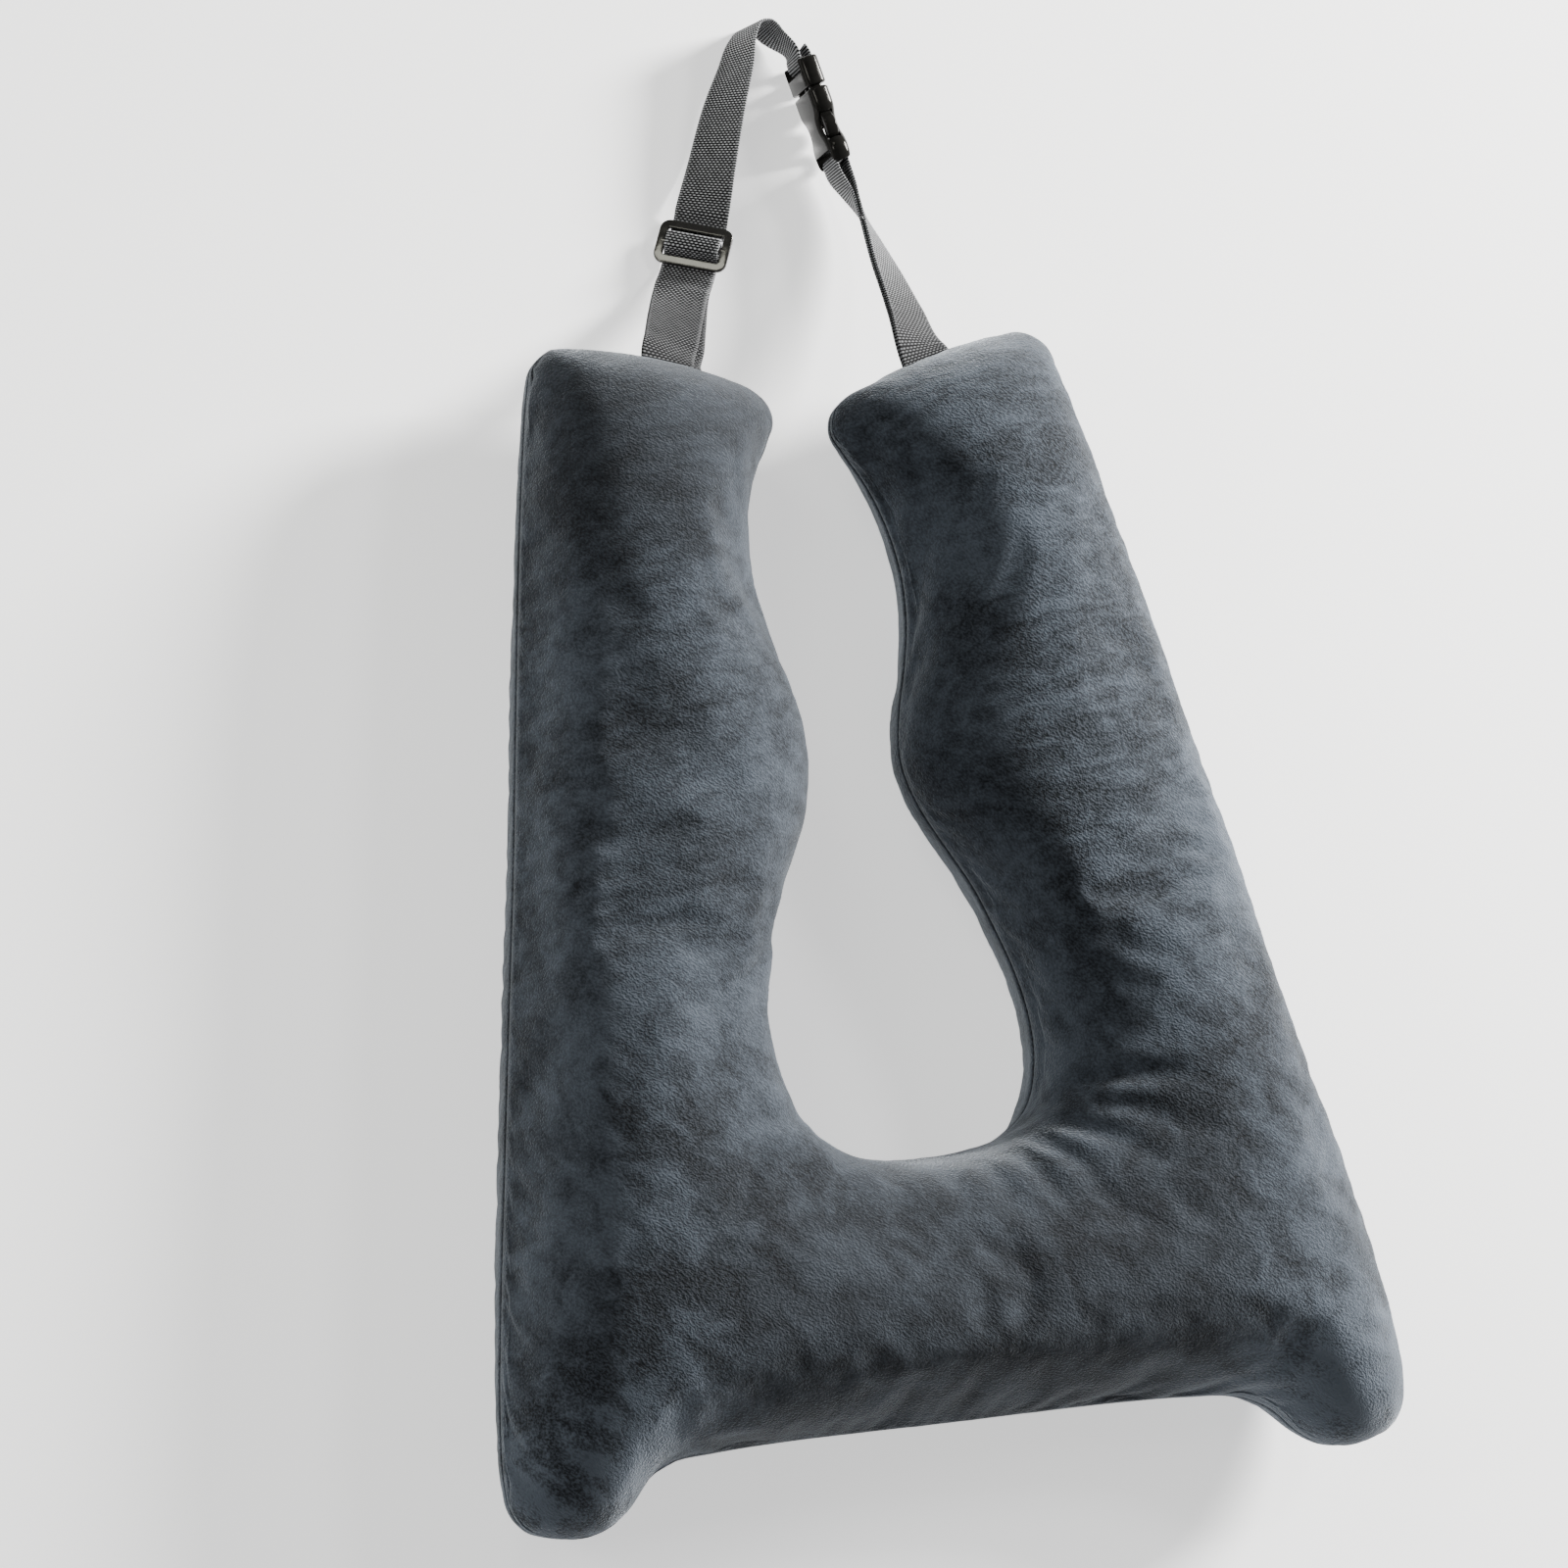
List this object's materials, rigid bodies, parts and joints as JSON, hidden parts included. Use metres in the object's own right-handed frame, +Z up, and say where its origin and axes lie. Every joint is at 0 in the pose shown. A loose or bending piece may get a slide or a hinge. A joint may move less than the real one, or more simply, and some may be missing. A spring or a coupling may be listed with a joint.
{
  "type": "kids travel pillow with buckled hanging strap",
  "caption": "A-shaped plush travel pillow whose arms stand either side of a child's head, with webbing limbs joined by a side-release buckle over a headrest.",
  "frame": {"origin": "under the middle of the whole pillow with its strap, on the surface that it lies on", "axes": "+X across the pillow, +Y from the feet to the strap, +Z up out of the face that shows; the pillow lies on its back"},
  "size_m": [0.4444, 0.6764, 0.0927],
  "materials": {
    "plush": "short velvety pile",
    "webbing": "woven polyester, grey and black",
    "gloss_black": "gloss"
  },
  "bodies": {
    "root": {"cushion": "plush", "webbing_long": "webbing", "webbing_return": "webbing", "webbing_loop": "webbing", "slider": "gloss_black", "buckle_plug": "gloss_black", "buckle_socket": "gloss_black"}
  },
  "joints": []
}
